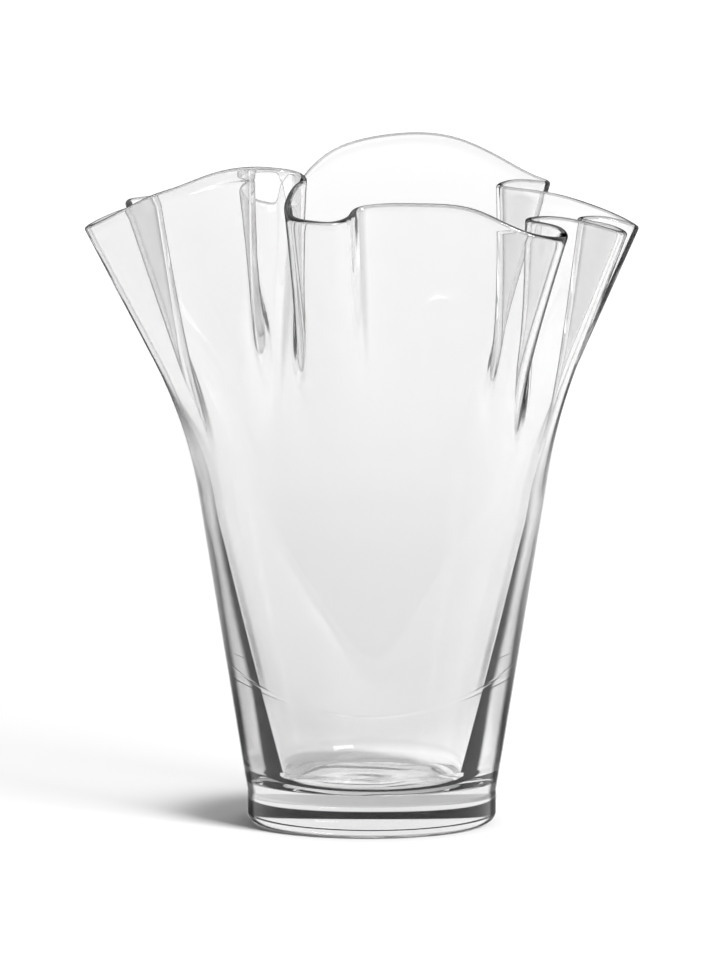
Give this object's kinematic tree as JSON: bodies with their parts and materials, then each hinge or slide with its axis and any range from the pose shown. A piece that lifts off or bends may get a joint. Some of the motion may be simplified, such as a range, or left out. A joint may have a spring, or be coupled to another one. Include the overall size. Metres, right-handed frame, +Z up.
{
  "type": "fan vase",
  "caption": "Clear glass vase with a deeply folded, fan-like rim, a plain cone-shaped body and a thick, solid round foot.",
  "frame": {"origin": "centre of the foot's flat underside", "axes": "+Z up along the axis of the round body; -Y towards the side with the narrow front lobe, which the picture shows nearest; +X to the right in the picture, away from the longest lobe"},
  "size_m": [0.1992, 0.1703, 0.2432],
  "materials": {
    "glass": "clear, fire-polished"
  },
  "bodies": {
    "root": {"glass_vase": "glass"}
  },
  "joints": []
}
